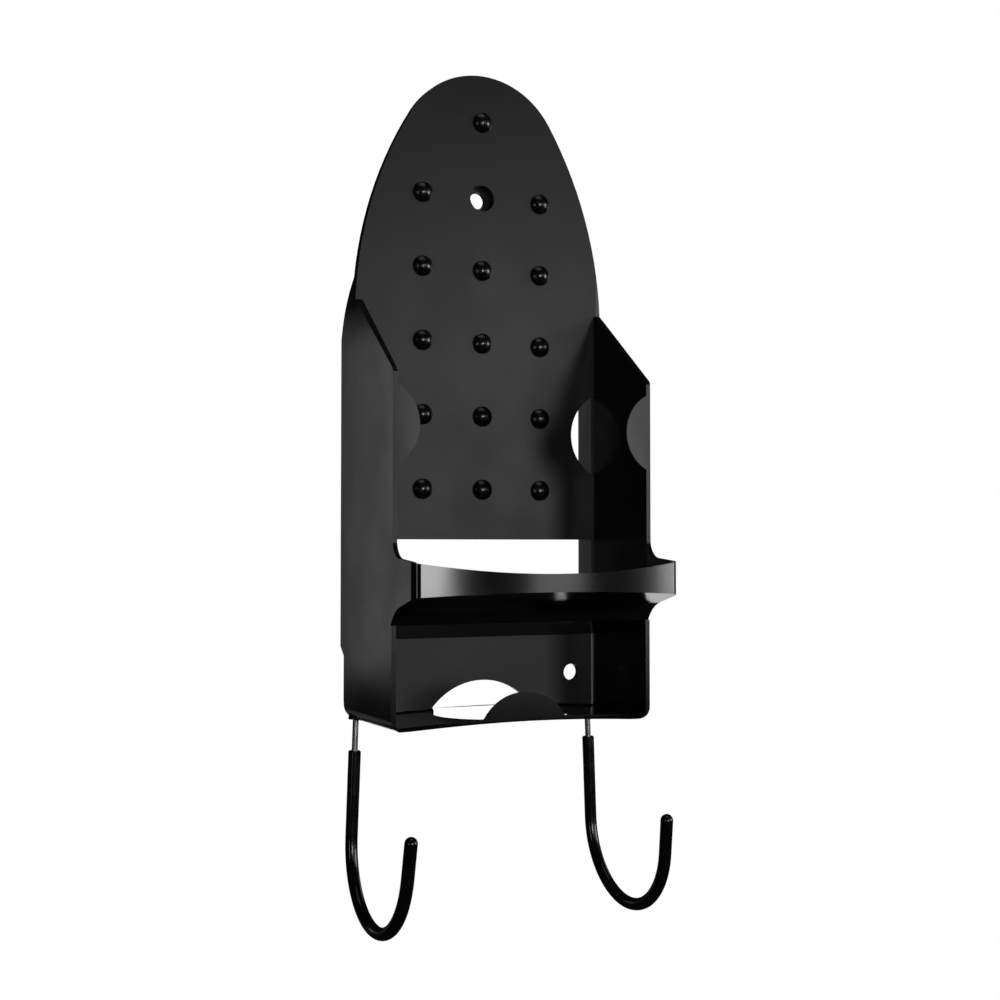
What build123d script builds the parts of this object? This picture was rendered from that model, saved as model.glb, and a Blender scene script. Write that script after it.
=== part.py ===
"""Wall-mounted holder for a clothes iron, with two hooks below for an ironing board.

Millimetres. The origin is on the top wall screw's axis, on the face its head bears on.
-Y faces the room, +Y the wall, +Z is up and +X is to the right seen from the room.
"""
import os
from math import cos, radians, sin, sqrt

from build123d import *

# Moulded body: widths, depths and wall thicknesses
body_width = 140.0
wall = 2.3
wall_taper = 1.6
plate_thickness = 3.0
rim_depth = 4.5
screw_seat_depth = 6.4
standoff = 20.5

# Distances along Y
plate_front = -screw_seat_depth
wall_plane = plate_front + standoff
cheek_front = plate_front - 52.0
bay_front = plate_front - 50.8
strap_front = plate_front - 78.3
low_back = wall_plane - 5.0
riser = plate_front - 44.3
strap_bow = 8.0
strap_thickness = 2.4
strap_peak = strap_front - strap_bow
apron_start = strap_front + 17.1
bay_top_front = bay_front + 1.3

# Heights along Z, from the top screw
apex = 64.3
nose_radius = 46.0
flank_radius = 205.0
cheek_top = -57.5
cheek_corner = -98.0
flare_top = -46.0
flare_end = -76.0
plate_bottom = -177.7
cheek_foot = -186.4
strap_top = -188.7
strap_bottom = -202.6
strap_dip = 5.4
bay_top = -218.4
relief_top = -232.0
floor_bottom = -268.6
floor_arch = 2.5
floor_thickness = 2.0
hook_datum = -268.0
shelf_back = -225.5
shelf_slope = 0.205
sill = -208.7
ledge_rise = 8.3
apron_top = -209.2
rib_top = -20.0

# Rounds
strap_corner = 4.5
bottom_corner = 6.5
heel_round = 10.0
cheek_fillet = 9.0
cheek_round = 3.0
foot_round = 3.0
riser_round = 9.0
relief_slope = 4.5
bay_round = 2.0
bay_floor_round = 1.0

# Retaining tabs and the mould cut-outs behind them
tab_thickness = 2.0
side_tab_radius = 21.0
side_tab_reach = 11.5
side_tab_z = -123.7
side_cut_radius = 23.3
side_cut_reach = 15.4
side_cut_z = -122.0
floor_tab_radius = 25.2
floor_tab_top = -252.0
floor_cut_radius = 36.2
floor_cut_top = -250.2
floor_hole_radius = 35.0
floor_hole_y = plate_front - 22.6
floor_hole_half = 27.5

# Wall screws
top_hole_radius = 4.25
top_head_radius = 6.85
web = 2.5
cup_wall = 2.2
ring_radius = 10.3
ring_wall = 2.4
low_hole_radius = 4.35
low_hole_x = 52.0
low_hole_z = -248.0
pad_spacing = 19.0
pad_x = 49.2
pad_length = 16.5

# Stiffening ribs behind the plate
rib_thickness = 2.0
rib_depth = 6.0
rib_x = 16.75
rib_rows = (-57.0, -95.0)

# Heat studs
stud_pitch_x = 33.5
stud_pitch_z = 38.0
top_stud_z = 39.6
stud_radius = 5.25
stud_height = 4.0
stud_base = 0.8
stem_radius = 2.5
stem_clearance = 0.05
barb_radius = 3.1
barb_length = 1.6

# Board hooks
wire_radius = 1.5
guide_clearance = 0.05
guide_radius = 3.7
guide_length = 32.0
mouth_depth = 1.4
hook_x = 66.1
hook_y = plate_front + 8.0
hook_splay = 2.0
hook_shank = 59.0
hook_radius = 38.0
hook_sweep = 171.0
hook_tip = 17.0
arm_length = 5.8
arm_bend = 2.6
arm_gap = 0.1
stop_width = 7.7
stop_height = 14.0
stop_drop = 3.5
stop_offset = 6.0
sleeve_radius = 3.15
sleeve_start = 15.6
sleeve_chamfer = 0.5

half = body_width / 2
inner = half - wall
over = 20.0
rear = wall_plane + over
floor_low = floor_bottom + floor_thickness
floor_top = floor_low + floor_arch
plate_back = plate_front + plate_thickness
rim_back = plate_front + rim_depth

# Stud places: one at the top, a pair beside the top screw, then rows of three
stud_places = [("row1_centre", 0.0, top_stud_z)]
for row, columns in enumerate([(-1, 1)] + [(-1, 0, 1)] * 4):
    for column in columns:
        side_name = ("left", "centre", "right")[column + 1]
        place = (f"row{row + 2}_{side_name}", column * stud_pitch_x, -row * stud_pitch_z)
        stud_places.append(place)


def room_plane(y):
    """A plane facing the room at a given Y, with X to the right and Z up."""
    return Plane.XZ.offset(-y)


def front_outline(inset=0.0):
    """Edges of the front outline, moved in by inset: soleplate arch, cheeks, round lower corners."""
    side = half - inset
    nose = nose_radius - inset
    flank = flank_radius - inset
    low = floor_bottom + inset
    corner = bottom_corner - inset
    nose_z = apex - nose_radius
    flank_x = side - flank
    flank_z = nose_z - sqrt((flank - nose) ** 2 - flank_x**2)
    join = Vector(-flank_x, nose_z - flank_z).normalized()
    meet = Vector(0, nose_z) + join * nose
    nose_mid = Vector(0, nose_z) + (join + Vector(0, 1)).normalized() * nose
    flank_mid = Vector(flank_x, flank_z) + (join + Vector(1, 0)).normalized() * flank
    with BuildLine() as outline:
        ThreePointArc((0, nose_z + nose), nose_mid, meet)
        ThreePointArc(meet, flank_mid, (side, flank_z))
        Line((side, flank_z), (side, low + corner))
        JernArc((side, low + corner), (0, -1), corner, -90)
        Line((side - corner, low), (0, low))
        mirror(about=Plane.YZ)
    return outline.edges()


def hook_point(side, forward, up, inward=0.0):
    """A point in a hook's own frame: from where its axis leaves the body, along its leaning shank."""
    lean = radians(hook_splay)
    across = side * (hook_x - up * sin(lean) - inward * cos(lean))
    return Vector(across, hook_y - forward, hook_datum + up * cos(lean) - inward * sin(lean))


def guide_plane(side, up):
    """A plane across a hook's shank, facing up along it."""
    start = hook_point(side, 0, up)
    return Plane(origin=start, x_dir=(0, -1, 0), z_dir=hook_point(side, 0, up + 1) - start)


# Outside of the body: its side profile, cut to its front and top outlines
with BuildPart() as shell:
    with BuildSketch(Plane.YZ) as side_profile:
        with BuildLine():
            Polyline(
                (bay_front, bay_top),
                (bay_front, floor_bottom),
                (low_back, floor_bottom),
                (low_back, relief_top - relief_slope),
                (wall_plane, relief_top),
                (wall_plane, flare_end),
            )
            ThreePointArc(
                (wall_plane, flare_end),
                (rim_back + 7.0, flare_top - 9.5),
                (rim_back, flare_top),
            )
            Polyline(
                (rim_back, flare_top),
                (rim_back, apex),
                (plate_front, apex),
                (plate_front, cheek_top),
                (cheek_front, cheek_corner),
                (cheek_front, cheek_foot),
                (strap_front, strap_top),
                (strap_peak, strap_top),
                (strap_peak, strap_bottom),
                (apron_start, apron_top),
            )
            TangentArc(
                (apron_start, apron_top),
                (bay_top_front, bay_top),
                tangent=(apron_start - strap_peak, apron_top - strap_bottom),
            )
            Line((bay_top_front, bay_top), (bay_front, bay_top))
        make_face()
        for corner, radius in (
            ((cheek_front, cheek_corner), cheek_round),
            ((cheek_front, cheek_foot), cheek_fillet),
            ((bay_front, floor_bottom), foot_round),
            ((low_back, floor_bottom), heel_round),
        ):
            fillet(side_profile.vertices().sort_by_distance(corner)[0], radius)
    extrude(amount=half, both=True)
    with BuildSketch(Plane.XZ):
        make_face(front_outline())
    extrude(amount=2 * body_width, both=True, mode=Mode.INTERSECT)
    with BuildSketch(Plane.XY) as top_outline:
        with BuildLine():
            ThreePointArc((-half, strap_front), (0, strap_peak), (half, strap_front))
            Polyline((half, strap_front), (half, rear), (-half, rear), (-half, strap_front))
        make_face()
        fillet(top_outline.vertices().group_by(Axis.Y)[0], strap_corner)
    extrude(amount=3 * body_width, both=True, mode=Mode.INTERSECT)

# Both front spaces follow the bowed strap and narrow towards the plate, where the cheeks thicken
with BuildPart() as front_taper:
    with BuildSketch(Plane.XY):
        with BuildLine():
            ThreePointArc(
                (-inner, strap_front + strap_thickness),
                (0, strap_peak + strap_thickness),
                (inner, strap_front + strap_thickness),
            )
            Polyline(
                (inner, strap_front + strap_thickness),
                (inner, cheek_front),
                (inner - wall_taper, plate_front),
                (wall_taper - inner, plate_front),
                (-inner, cheek_front),
                (-inner, strap_front + strap_thickness),
            )
        make_face()
    extrude(amount=3 * body_width, both=True)

# Space for the iron: open to the front and top, with a sloping shelf for its heel
with BuildPart() as iron_pocket:
    with BuildSketch(Plane.YZ) as pocket_profile:
        with BuildLine():
            Polyline(
                (plate_front, apex + over),
                (plate_front, shelf_back),
                (riser, shelf_back + shelf_slope * (plate_front - riser)),
                (riser, sill),
                (strap_peak, sill + ledge_rise),
                (strap_peak, apex + over),
                close=True,
            )
        make_face()
        fillet(pocket_profile.vertices().sort_by_distance((riser, sill))[0], riser_round)
    extrude(amount=inner, both=True)
    add(front_taper.part, mode=Mode.INTERSECT)

# The strap's top edge dips in the middle
with BuildPart() as strap_dip_cut:
    with BuildSketch(room_plane(strap_peak)):
        with BuildLine():
            ThreePointArc((-half, strap_top), (0, strap_top - strap_dip), (half, strap_top))
            Polyline((half, strap_top), (half, cheek_foot), (-half, cheek_foot), (-half, strap_top))
        make_face()
    extrude(amount=-(strap_bow + strap_thickness))

# Compartment under the shelf, open to the front
with BuildPart() as cord_bay:
    with BuildSketch(Plane.YZ):
        with BuildLine():
            Polyline(
                (plate_front, shelf_back - wall - 0.2),
                (plate_front, floor_low),
                (strap_front, floor_low),
                (strap_front, bay_top),
                (bay_top_front, bay_top),
                close=True,
            )
        make_face()
    extrude(amount=inner, both=True)
    add(front_taper.part, mode=Mode.INTERSECT)
    with BuildSketch(room_plane(rear)):
        with BuildLine():
            ThreePointArc((-half, floor_low), (0, floor_top), (half, floor_low))
            Line((half, floor_low), (-half, floor_low))
        make_face()
    extrude(amount=2 * body_width, mode=Mode.SUBTRACT)
    fillet(cord_bay.edges().filter_by(Axis.Z).group_by(Axis.Y)[-1], bay_round)
    fillet(cord_bay.faces().sort_by(Axis.Z)[0].edges().sort_by(Axis.Y)[1:], bay_floor_round)

# Hollow between the plate and the wall, inside the rim and the cheeks
with BuildPart() as rear_hollow:
    with BuildSketch(room_plane(plate_back)):
        make_face(front_outline(wall))
    extrude(amount=-(rear - plate_back))
    with BuildSketch(room_plane(plate_back)):
        with Locations((0, shelf_back - wall / 2)):
            Rectangle(body_width, wall)
        with Locations((0, plate_bottom + wall / 2)):
            Rectangle(body_width, wall)
        with Locations((0, floor_top)):
            Rectangle(body_width, over, align=(Align.CENTER, Align.MAX))
    extrude(amount=-(rear - plate_back), mode=Mode.SUBTRACT)


with BuildPart() as housing:
    add(shell.part)
    for hollow in (iron_pocket, strap_dip_cut, cord_bay, rear_hollow):
        add(hollow.part, mode=Mode.SUBTRACT)

    # Window under the plate, down to the shelf
    with BuildSketch(room_plane(plate_front)):
        with Locations((0, (plate_bottom + shelf_back) / 2)):
            Rectangle(2 * (inner - wall_taper), plate_bottom - shelf_back)
    extrude(amount=-(rear - plate_front), mode=Mode.SUBTRACT)

    # Gentle arch along the bottom
    with BuildSketch(room_plane(rear)):
        with BuildLine():
            arch_end = half - bottom_corner
            ThreePointArc((-arch_end, floor_bottom), (0, floor_bottom + floor_arch), (arch_end, floor_bottom))
            Line((arch_end, floor_bottom), (-arch_end, floor_bottom))
        make_face()
    extrude(amount=2 * body_width, mode=Mode.SUBTRACT)

    # Cut-outs that let the mould form the tabs
    with BuildSketch(room_plane(plate_front)):
        for side in (-1, 1):
            with Locations((side * (inner - side_cut_reach + side_cut_radius), side_cut_z)):
                Circle(side_cut_radius)
        with Locations((0, floor_cut_top - floor_cut_radius)):
            Circle(floor_cut_radius)
        with Locations((0, (apex + floor_top) / 2)):
            Rectangle(2 * (inner - wall_taper), apex - floor_top, mode=Mode.INTERSECT)
    extrude(amount=-plate_thickness, mode=Mode.SUBTRACT)
    with BuildSketch(Plane.XY.offset(floor_bottom)):
        with Locations((0, floor_hole_y)):
            Circle(floor_hole_radius)
            Rectangle(2 * floor_hole_half, rear - floor_hole_y, align=(Align.CENTER, Align.MIN))
        with Locations((0, bay_front + tab_thickness)):
            Rectangle(body_width, 2 * body_width, align=(Align.CENTER, Align.MIN), mode=Mode.INTERSECT)
    extrude(amount=floor_top - floor_bottom + wall / 4, mode=Mode.SUBTRACT)

    # Retaining tabs: one on each cheek, one standing on the floor
    with BuildSketch(room_plane(cheek_front + tab_thickness)):
        for side in (-1, 1):
            with Locations((side * (inner - side_tab_reach + side_tab_radius), side_tab_z)):
                Circle(side_tab_radius)
        with Locations((0, side_tab_z)):
            Rectangle(2 * inner + wall, body_width, mode=Mode.INTERSECT)
    extrude(amount=tab_thickness)
    with BuildSketch(room_plane(bay_front + tab_thickness)):
        with Locations((0, floor_tab_top - floor_tab_radius)):
            Circle(floor_tab_radius)
        with Locations((0, floor_top - floor_thickness / 2)):
            Rectangle(body_width, over * 2, align=(Align.CENTER, Align.MIN), mode=Mode.INTERSECT)
    extrude(amount=tab_thickness)

    # Ribs behind the plate
    with BuildSketch(room_plane(plate_back)):
        for rib_z in rib_rows:
            with Locations((0, rib_z)):
                Rectangle(2 * inner, rib_thickness)
        with Locations((-rib_x, plate_bottom), (rib_x, plate_bottom)):
            Rectangle(rib_thickness, rib_top - plate_bottom, align=(Align.CENTER, Align.MIN))
    extrude(amount=-rib_depth)

    # Top screw: a cup for the screw's head inside a ring that stands on the wall
    with BuildSketch(room_plane(plate_back)):
        Circle(top_head_radius + cup_wall)
    extrude(amount=-(web - plate_back))
    with BuildSketch(room_plane(plate_back)):
        Circle(ring_radius + ring_wall)
        Circle(ring_radius, mode=Mode.SUBTRACT)
    extrude(amount=-(wall_plane - plate_back))
    with Locations(room_plane(plate_front)):
        CounterBoreHole(top_hole_radius, top_head_radius, screw_seat_depth, depth=over)

    # Lower screws: a plain hole each, with a pad above and below that stands on the wall
    with BuildSketch(room_plane(plate_back)):
        with Locations((-pad_x, low_hole_z), (pad_x, low_hole_z)):
            with GridLocations(0, pad_spacing, 1, 2):
                Rectangle(pad_length, rib_thickness)
    extrude(amount=-(wall_plane - plate_back))
    with BuildSketch(room_plane(plate_front)):
        with Locations((-low_hole_x, low_hole_z), (low_hole_x, low_hole_z)):
            Circle(low_hole_radius)
    extrude(amount=-plate_thickness, mode=Mode.SUBTRACT)

    # Holes for the heat studs
    with BuildSketch(room_plane(plate_front)):
        with Locations([(x, z) for name, x, z in stud_places]):
            Circle(stem_radius + stem_clearance)
    extrude(amount=-rib_depth - plate_thickness, mode=Mode.SUBTRACT)

    # Guides for the hooks' shanks, and a stop for each hook's arm
    for side in (-1, 1):
        with BuildSketch(guide_plane(side, 0)):
            Circle(guide_radius)
        extrude(amount=guide_length)
        with BuildSketch(Plane.XY.offset(hook_datum + guide_length - stop_drop)):
            with Locations((side * (inner - stop_width / 2), hook_y + stop_offset)):
                Rectangle(stop_width, rib_thickness)
        extrude(amount=stop_height)
    with BuildSketch(Plane.XY.offset(floor_bottom - over)):
        with Locations((0, hook_y)):
            Rectangle(2 * body_width, 2 * body_width)
    extrude(amount=over, mode=Mode.SUBTRACT)
    for side in (-1, 1):
        with BuildSketch(guide_plane(side, -over)):
            Circle(wire_radius + guide_clearance)
        extrude(amount=guide_length + 2 * over, mode=Mode.SUBTRACT)
        with Locations(guide_plane(side, guide_length - mouth_depth)):
            Cone(
                wire_radius + guide_clearance,
                wire_radius + guide_clearance + mouth_depth,
                mouth_depth,
                align=(Align.CENTER, Align.CENTER, Align.MIN),
                mode=Mode.SUBTRACT,
            )
housing.part.label = "housing"


def make_stud(x, z):
    """A heat stud: domed head on the plate, stem through it and a barb behind it."""
    with BuildPart() as stud:
        with BuildSketch(Plane.YZ):
            with BuildLine():
                dome = ThreePointArc(
                    (plate_front - stud_height, 0),
                    (plate_front - stud_height + 1.0, 3.1),
                    (plate_front - stud_base, stud_radius),
                )
                Polyline(
                    dome @ 1,
                    (plate_front, stud_radius),
                    (plate_front, stem_radius),
                    (plate_back, stem_radius),
                    (plate_back, barb_radius),
                    (plate_back + barb_length, stem_radius - 0.4),
                    (plate_back + barb_length, 0),
                    dome @ 0,
                )
            make_face()
        revolve(axis=Axis.Y)
    return Pos(x, 0, z) * stud.part


def bend_point(angle, along=0.0):
    """Forward and up to a point on a hook's bend, or that far along the straight end after it."""
    forward = hook_radius * (1 - cos(angle)) + along * sin(angle)
    return forward, -hook_shank - hook_radius * sin(angle) - along * cos(angle)


def hook_curve(side, top):
    """Edges of a hook's centre line from a height on its shank to its tip."""
    turn = radians(hook_sweep)
    with BuildLine() as curve:
        Line(hook_point(side, 0, top), hook_point(side, 0, -hook_shank))
        ThreePointArc(
            hook_point(side, 0, -hook_shank),
            hook_point(side, *bend_point(turn / 2)),
            hook_point(side, *bend_point(turn)),
        )
        Line(hook_point(side, *bend_point(turn)), hook_point(side, *bend_point(turn, hook_tip)))
    return curve.edges()


hook_parts = []
for side, side_name in ((-1, "left"), (1, "right")):
    arm_height = guide_length + arm_gap + wire_radius
    bend_mid = arm_bend * (1 - cos(radians(45)))

    # Wire: a short arm above the guide, bent down into the shank and round into the hook
    with BuildPart() as hook_wire:
        with BuildLine() as wire_path:
            Line(hook_point(side, 0, arm_height, arm_length), hook_point(side, 0, arm_height, arm_bend))
            ThreePointArc(
                hook_point(side, 0, arm_height, arm_bend),
                hook_point(side, 0, arm_height - bend_mid, bend_mid),
                hook_point(side, 0, arm_height - arm_bend),
            )
            add(hook_curve(side, arm_height - arm_bend))
        with BuildSketch(Plane(origin=wire_path.line @ 0, z_dir=wire_path.line % 0)):
            Circle(wire_radius)
        sweep(path=wire_path.line)
    hook_wire.part.label = f"hook_wire_{side_name}"
    hook_parts.append(hook_wire.part)

    # Sleeve: pushed over the wire from the tip, with a round end
    with BuildPart() as hook_sleeve:
        with BuildLine() as sleeve_path:
            add(hook_curve(side, -sleeve_start))
        with BuildSketch(Plane(origin=sleeve_path.line @ 0, z_dir=sleeve_path.line % 0)):
            Circle(sleeve_radius)
        sweep(path=sleeve_path.line)
        chamfer(hook_sleeve.edges().filter_by(GeomType.CIRCLE).sort_by(Axis.Z)[-1], sleeve_chamfer)
        with Locations(hook_point(side, *bend_point(radians(hook_sweep), hook_tip))):
            Sphere(sleeve_radius)
        add(hook_wire.part, mode=Mode.SUBTRACT)
    hook_sleeve.part.label = f"hook_sleeve_{side_name}"
    hook_parts.append(hook_sleeve.part)

stud_parts = []
for name, x, z in stud_places:
    stud = make_stud(x, z)
    stud.label = f"heat_stud_{name}"
    stud_parts.append(stud)

os.makedirs("parts", exist_ok=True)
for part in [housing.part, *stud_parts, *hook_parts]:
    export_step(part, f"parts/{part.label}.step")
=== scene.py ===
"""Looks for the wall-mounted iron holder: materials, edge rounding, studio and camera.

Metres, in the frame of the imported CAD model: the wall is towards +Y and +Z is up.
"""
import math

import bpy
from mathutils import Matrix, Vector


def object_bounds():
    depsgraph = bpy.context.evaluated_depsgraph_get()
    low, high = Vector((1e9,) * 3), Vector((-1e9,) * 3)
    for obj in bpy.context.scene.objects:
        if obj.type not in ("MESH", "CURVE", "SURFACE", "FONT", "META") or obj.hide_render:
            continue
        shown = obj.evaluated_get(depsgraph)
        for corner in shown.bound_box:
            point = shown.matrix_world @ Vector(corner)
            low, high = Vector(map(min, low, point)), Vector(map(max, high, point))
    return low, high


# Camera: place in metres, turn towards +X and tilt upwards in degrees, lens and sensor in millimetres
CAMERA_PLACE = (-0.3255, -0.7119, -0.1809)
CAMERA_YAW = 25.45
CAMERA_PITCH = 1.74
LENS = 53.99
SENSOR = 36.0

# Edge rounding of the moulded body: distances in metres, angles in degrees
WELD = 2e-6
FLAT_ANGLE = 0.5
EDGE_ROUND = 0.0005
EDGE_ANGLE = 32.0
EDGE_SEGMENTS = 3

# The duller zone of the body: it starts just in front of the plate's face, and its half width ends just
# inside the cheeks' inner faces as they stand behind the plate
ZONE_FRONT = -0.0072
ZONE_HALF = 0.0675

# The middle stretch of a noise value, where most of it lies, as levels and as colour stops
NOISE_LOW, NOISE_HIGH = 0.3, 0.7
DARK_STOP, LIGHT_STOP = 0.35, 0.65

# Lights: bearing and rise in degrees, width and height in metres, radiance
LIGHT_DISTANCE = 2.0
SURROUND = 0.01
PANELS = {
    "front_strip": (-4.5, 1, (0.48, 0.44), 15.0),
    "key_panel": (26.5, 5.5, (0.46, 0.85), 2.9),
    "right_panel": (62, 4, (0.6, 0.66), 9.0),
    "left_strip": (-58, 0, (0.16, 0.6), 6.0),
    "rear_left_panel": (203.8, 1.3, (0.17, 0.62), 0.58),
    "low_panel": (185, -18, (1.0, 0.4), 0.12),
    "rear_panel": (150, -22, (1.3, 0.5), 1.4),
    "side_panel": (108, 10, (0.4, 1.0), 1.5),
    "top_panel": (0, 80, (1.2, 1.2), 0.7),
}

# Stage
FLOOR_DROP = 0.35
STAGE_RADIUS = 12.0
FLOOR_RADIUS = 0.99 * STAGE_RADIUS
VIEW_DEPTH = 4 * STAGE_RADIUS
STAGE_WHITE = 1.0


def node_tree(name):
    """A new material that holds only a surface shader: the material, its nodes, its links, the shader."""
    material = bpy.data.materials.new(name)
    material.use_nodes = True
    nodes = material.node_tree.nodes
    nodes.clear()
    output = nodes.new("ShaderNodeOutputMaterial")
    shader = nodes.new("ShaderNodeBsdfPrincipled")
    material.node_tree.links.new(shader.outputs["BSDF"], output.inputs["Surface"])
    return material, nodes, material.node_tree.links, shader


def noise(nodes, links, coordinates, scale, detail=2.0, roughness=0.5, stretch=(1, 1, 1)):
    """A noise texture's value output, at so many features per metre."""
    mapping = nodes.new("ShaderNodeMapping")
    mapping.inputs["Scale"].default_value = stretch
    links.new(coordinates, mapping.inputs["Vector"])
    texture = nodes.new("ShaderNodeTexNoise")
    texture.inputs["Scale"].default_value = scale
    texture.inputs["Detail"].default_value = detail
    texture.inputs["Roughness"].default_value = roughness
    links.new(mapping.outputs["Vector"], texture.inputs["Vector"])
    return texture.outputs["Fac"]


def spread(nodes, links, value, low, high):
    """Maps the middle of a noise value's range to low and high."""
    ranged = nodes.new("ShaderNodeMapRange")
    ranged.interpolation_type = "SMOOTHSTEP"
    ranged.inputs["From Min"].default_value = NOISE_LOW
    ranged.inputs["From Max"].default_value = NOISE_HIGH
    ranged.inputs["To Min"].default_value = low
    ranged.inputs["To Max"].default_value = high
    links.new(value, ranged.inputs["Value"])
    return ranged.outputs["Result"]


def colour_mix(nodes, links, value, dark, light):
    """A colour between dark and light by a noise value."""
    ramp = nodes.new("ShaderNodeValToRGB")
    ramp.color_ramp.interpolation = "EASE"
    ramp.color_ramp.elements[0].position = DARK_STOP
    ramp.color_ramp.elements[0].color = (*dark, 1)
    ramp.color_ramp.elements[1].position = LIGHT_STOP
    ramp.color_ramp.elements[1].color = (*light, 1)
    links.new(value, ramp.inputs["Fac"])
    return ramp.outputs["Color"]


def bump(nodes, links, height, strength, distance, under=None):
    """A bump of that many metres, laid over another one when given."""
    layer = nodes.new("ShaderNodeBump")
    layer.inputs["Strength"].default_value = strength
    layer.inputs["Distance"].default_value = distance
    links.new(height, layer.inputs["Height"])
    if under is not None:
        links.new(under, layer.inputs["Normal"])
    return layer.outputs["Normal"]


def compare(nodes, links, value, operation, limit):
    """One where the comparison of the value with the limit holds, else zero."""
    test = nodes.new("ShaderNodeMath")
    test.operation = operation
    test.inputs[1].default_value = limit
    links.new(value, test.inputs[0])
    return test.outputs["Value"]


def plate_zone(nodes, links, place):
    """One on the back plate and behind it, between the cheeks, else zero."""
    axes = nodes.new("ShaderNodeSeparateXYZ")
    links.new(place, axes.inputs["Vector"])
    side = nodes.new("ShaderNodeMath")
    side.operation = "ABSOLUTE"
    links.new(axes.outputs["X"], side.inputs[0])
    within = nodes.new("ShaderNodeMath")
    within.operation = "MULTIPLY"
    links.new(compare(nodes, links, axes.outputs["Y"], "GREATER_THAN", ZONE_FRONT), within.inputs[0])
    links.new(compare(nodes, links, side.outputs["Value"], "LESS_THAN", ZONE_HALF), within.inputs[1])
    return within.outputs["Value"]


def moulded_black():
    """Black plastic with a fine grain and slow waviness, duller on the plate, polished elsewhere."""
    material, nodes, links, shader = node_tree("moulded_black")
    place = nodes.new("ShaderNodeTexCoord").outputs["Object"]
    cloud = noise(nodes, links, place, scale=26.0, detail=3.0, roughness=0.55)
    grain = noise(nodes, links, place, scale=2600.0, roughness=0.6)
    wave = noise(nodes, links, place, scale=34.0, detail=1.0, roughness=0.4)
    links.new(
        colour_mix(nodes, links, cloud, dark=(0.0024, 0.0024, 0.0026), light=(0.0038, 0.0038, 0.0042)),
        shader.inputs["Base Color"],
    )
    gloss = nodes.new("ShaderNodeMix")
    links.new(plate_zone(nodes, links, place), gloss.inputs["Factor"])
    links.new(spread(nodes, links, cloud, low=0.14, high=0.18), gloss.inputs["A"])
    links.new(spread(nodes, links, cloud, low=0.32, high=0.38), gloss.inputs["B"])
    links.new(gloss.outputs["Result"], shader.inputs["Roughness"])
    slow = bump(nodes, links, wave, strength=0.3, distance=0.0003)
    fine = bump(nodes, links, grain, strength=0.12, distance=0.00003, under=slow)
    links.new(fine, shader.inputs["Normal"])
    shader.inputs["IOR"].default_value = 1.46
    return material


def stud_black():
    """Glossy heat-resistant plastic with slight swirls."""
    material, nodes, links, shader = node_tree("stud_black")
    place = nodes.new("ShaderNodeTexCoord").outputs["Object"]
    swirl = noise(nodes, links, place, scale=420.0)
    links.new(
        colour_mix(nodes, links, swirl, dark=(0.0025, 0.0025, 0.0028), light=(0.0045, 0.0045, 0.005)),
        shader.inputs["Base Color"],
    )
    links.new(spread(nodes, links, swirl, low=0.2, high=0.28), shader.inputs["Roughness"])
    links.new(bump(nodes, links, swirl, strength=0.15, distance=0.00005), shader.inputs["Normal"])
    shader.inputs["IOR"].default_value = 1.5
    return material


def drawn_steel():
    """Plated wire with fine drawing marks along its upright shank."""
    material, nodes, links, shader = node_tree("drawn_steel")
    place = nodes.new("ShaderNodeTexCoord").outputs["Object"]
    marks = noise(nodes, links, place, scale=1500.0, detail=3.0, roughness=0.6, stretch=(1, 1, 0.04))
    stain = noise(nodes, links, place, scale=90.0)
    links.new(
        colour_mix(nodes, links, stain, dark=(0.22, 0.225, 0.235), light=(0.31, 0.31, 0.32)),
        shader.inputs["Base Color"],
    )
    links.new(spread(nodes, links, marks, low=0.22, high=0.38), shader.inputs["Roughness"])
    links.new(bump(nodes, links, marks, strength=0.3, distance=0.00003), shader.inputs["Normal"])
    shader.inputs["Metallic"].default_value = 1.0
    return material


def dipped_vinyl():
    """Soft glossy vinyl with faint waviness from the dip."""
    material, nodes, links, shader = node_tree("dipped_vinyl")
    place = nodes.new("ShaderNodeTexCoord").outputs["Object"]
    wave = noise(nodes, links, place, scale=160.0)
    pores = noise(nodes, links, place, scale=1300.0)
    links.new(
        colour_mix(nodes, links, wave, dark=(0.0022, 0.0022, 0.0024), light=(0.0036, 0.0036, 0.004)),
        shader.inputs["Base Color"],
    )
    links.new(spread(nodes, links, wave, low=0.14, high=0.2), shader.inputs["Roughness"])
    slow = bump(nodes, links, wave, strength=0.25, distance=0.00012)
    fine = bump(nodes, links, pores, strength=0.1, distance=0.00003, under=slow)
    links.new(fine, shader.inputs["Normal"])
    shader.inputs["IOR"].default_value = 1.48
    return material


def plain_normals():
    """A node group that drops stored normals and shades smooth."""
    group = bpy.data.node_groups.new("plain_normals", "GeometryNodeTree")
    group.interface.new_socket("Geometry", in_out="INPUT", socket_type="NodeSocketGeometry")
    group.interface.new_socket("Geometry", in_out="OUTPUT", socket_type="NodeSocketGeometry")
    start = group.nodes.new("NodeGroupInput")
    drop = group.nodes.new("GeometryNodeRemoveAttribute")
    drop.inputs["Name"].default_value = "custom_normal"
    smooth = group.nodes.new("GeometryNodeSetShadeSmooth")
    end = group.nodes.new("NodeGroupOutput")
    group.links.new(start.outputs["Geometry"], drop.inputs["Geometry"])
    group.links.new(drop.outputs["Geometry"], smooth.inputs["Geometry"])
    group.links.new(smooth.outputs["Geometry"], end.inputs["Geometry"])
    return group


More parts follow.
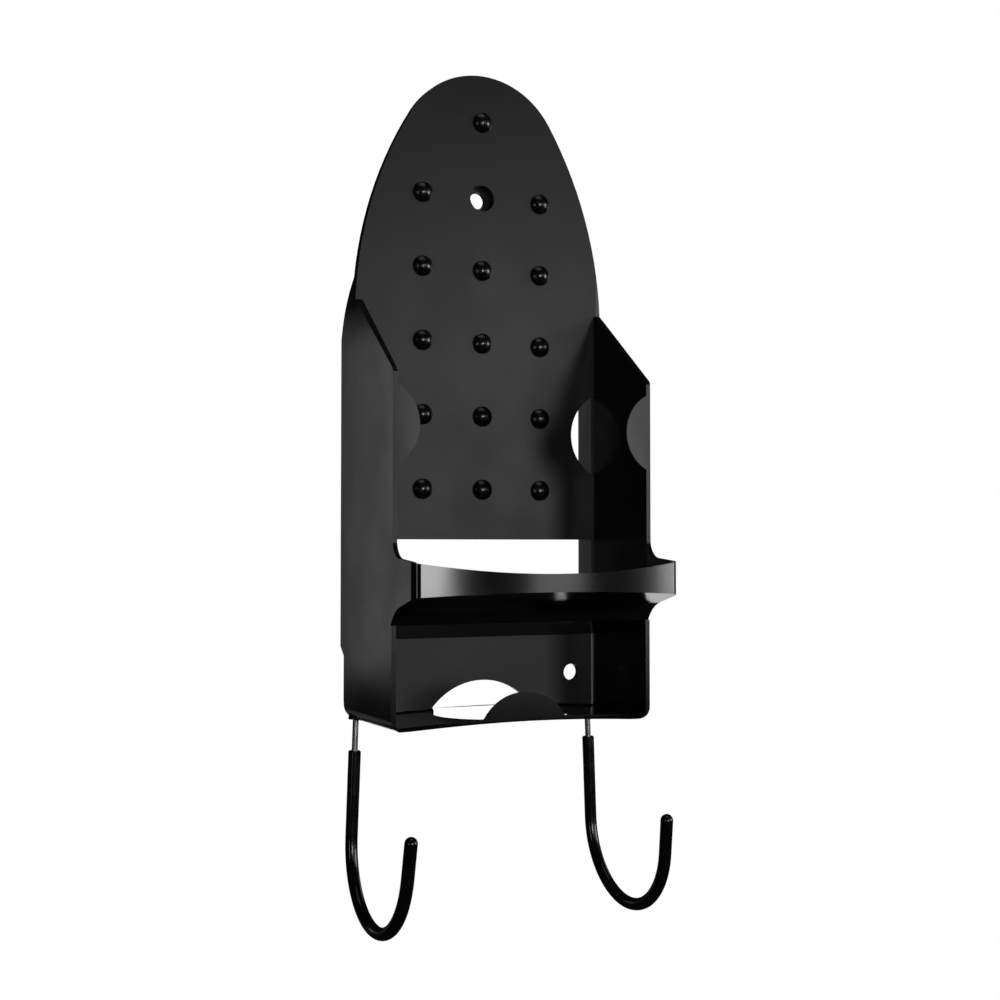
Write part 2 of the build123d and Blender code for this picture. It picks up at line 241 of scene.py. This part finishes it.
def smooth_edges(obj, width):
    """Rounds a CAD object's sharp edges with modifiers, leaving its own mesh as it is."""
    normals = obj.modifiers.new("normals", "NODES")
    normals.node_group = plain_normals()
    weld = obj.modifiers.new("weld", "WELD")
    weld.merge_threshold = WELD
    flat = obj.modifiers.new("flat", "DECIMATE")
    flat.decimate_type = "DISSOLVE"
    flat.angle_limit = math.radians(FLAT_ANGLE)
    rounding = obj.modifiers.new("rounding", "BEVEL")
    rounding.width = width
    rounding.segments = EDGE_SEGMENTS
    rounding.limit_method = "ANGLE"
    rounding.angle_limit = math.radians(EDGE_ANGLE)
    rounding.use_clamp_overlap = True
    rounding.harden_normals = False
    weighted = obj.modifiers.new("weighted", "WEIGHTED_NORMAL")
    weighted.keep_sharp = False


def dress(frame):
    """Gives every CAD node its material, and rounds the body's edges."""
    finishes = {
        "housing": moulded_black(),
        "heat_stud": stud_black(),
        "hook_wire": drawn_steel(),
        "hook_sleeve": dipped_vinyl(),
    }
    for name, obj in frame["nodes"].items():
        finish = next(finishes[start] for start in finishes if name.startswith(start))
        for slot in obj.material_slots:
            slot.material = finish
    smooth_edges(frame["nodes"]["housing"], EDGE_ROUND)


def emission(name, colour, strength):
    """A plain light-giving material."""
    material = bpy.data.materials.new(name)
    material.use_nodes = True
    nodes = material.node_tree.nodes
    nodes.clear()
    output = nodes.new("ShaderNodeOutputMaterial")
    glow = nodes.new("ShaderNodeEmission")
    glow.inputs["Color"].default_value = (*colour, 1)
    glow.inputs["Strength"].default_value = strength
    material.node_tree.links.new(glow.outputs["Emission"], output.inputs["Surface"])
    return material


def build_stage(low):
    """A white studio all round, with a pale floor below the object. It shows but lights nothing."""
    white = emission("studio_white", (1, 1, 1), STAGE_WHITE)
    bpy.ops.mesh.primitive_uv_sphere_add(segments=48, ring_count=24, radius=STAGE_RADIUS)
    room = bpy.context.object
    room.name = "studio_room"
    bpy.ops.mesh.primitive_circle_add(
        vertices=64, radius=FLOOR_RADIUS, fill_type="NGON", location=(0, 0, low - FLOOR_DROP)
    )
    floor = bpy.context.object
    floor.name = "studio_floor"
    for piece in (room, floor):
        piece.data.materials.append(white)
        piece.visible_diffuse = False
        piece.visible_glossy = False
        piece.visible_shadow = False


def softbox(name, bearing, rise, size, radiance, target):
    """An area light round the object: bearing from -Y towards +X, rise above the horizon."""
    turn = math.radians(bearing)
    lift = math.radians(rise)
    away = Vector((math.sin(turn) * math.cos(lift), -math.cos(turn) * math.cos(lift), math.sin(lift)))
    lamp = bpy.data.lights.new(name, "AREA")
    lamp.shape = "RECTANGLE"
    lamp.size, lamp.size_y = size
    lamp.energy = radiance * math.pi * size[0] * size[1]
    light = bpy.data.objects.new(name, lamp)
    light.location = target + away * LIGHT_DISTANCE
    light.rotation_euler = away.to_track_quat("Z", "Y").to_euler()
    light.visible_camera = False
    bpy.context.scene.collection.objects.link(light)


def build_lights(low, high):
    """Soft panels round the object, and a dim surround."""
    middle = (low + high) / 2
    for name, (bearing, rise, size, radiance) in PANELS.items():
        softbox(name, bearing, rise, size, radiance, middle)
    world = bpy.data.worlds.new("surround")
    bpy.context.scene.world = world
    world.use_nodes = True
    ground = world.node_tree.nodes["Background"]
    ground.inputs["Color"].default_value = (1, 1, 1, 1)
    ground.inputs["Strength"].default_value = SURROUND


def build_camera():
    """The camera: in front and to the left, a little below the object's middle, tilted slightly up."""
    camera = bpy.data.cameras.new("camera")
    camera.lens = LENS
    camera.sensor_width = SENSOR
    camera.clip_end = VIEW_DEPTH
    eye = bpy.data.objects.new("camera", camera)
    eye.location = CAMERA_PLACE
    eye.rotation_euler = (math.radians(90 + CAMERA_PITCH), 0, math.radians(-CAMERA_YAW))
    bpy.context.scene.collection.objects.link(eye)
    bpy.context.scene.camera = eye


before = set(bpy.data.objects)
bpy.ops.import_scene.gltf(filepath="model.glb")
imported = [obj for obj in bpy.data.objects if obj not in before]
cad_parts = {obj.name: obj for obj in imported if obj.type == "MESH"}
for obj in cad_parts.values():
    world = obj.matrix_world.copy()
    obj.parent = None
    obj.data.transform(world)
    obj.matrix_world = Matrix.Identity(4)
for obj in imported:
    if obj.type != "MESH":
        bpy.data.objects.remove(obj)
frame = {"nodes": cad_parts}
cad_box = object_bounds()
low, high = (Vector(corner) for corner in cad_box)
dress(frame)
build_stage(low.z)
build_lights(low, high)
build_camera()
bpy.context.scene.view_settings.view_transform = "Standard"
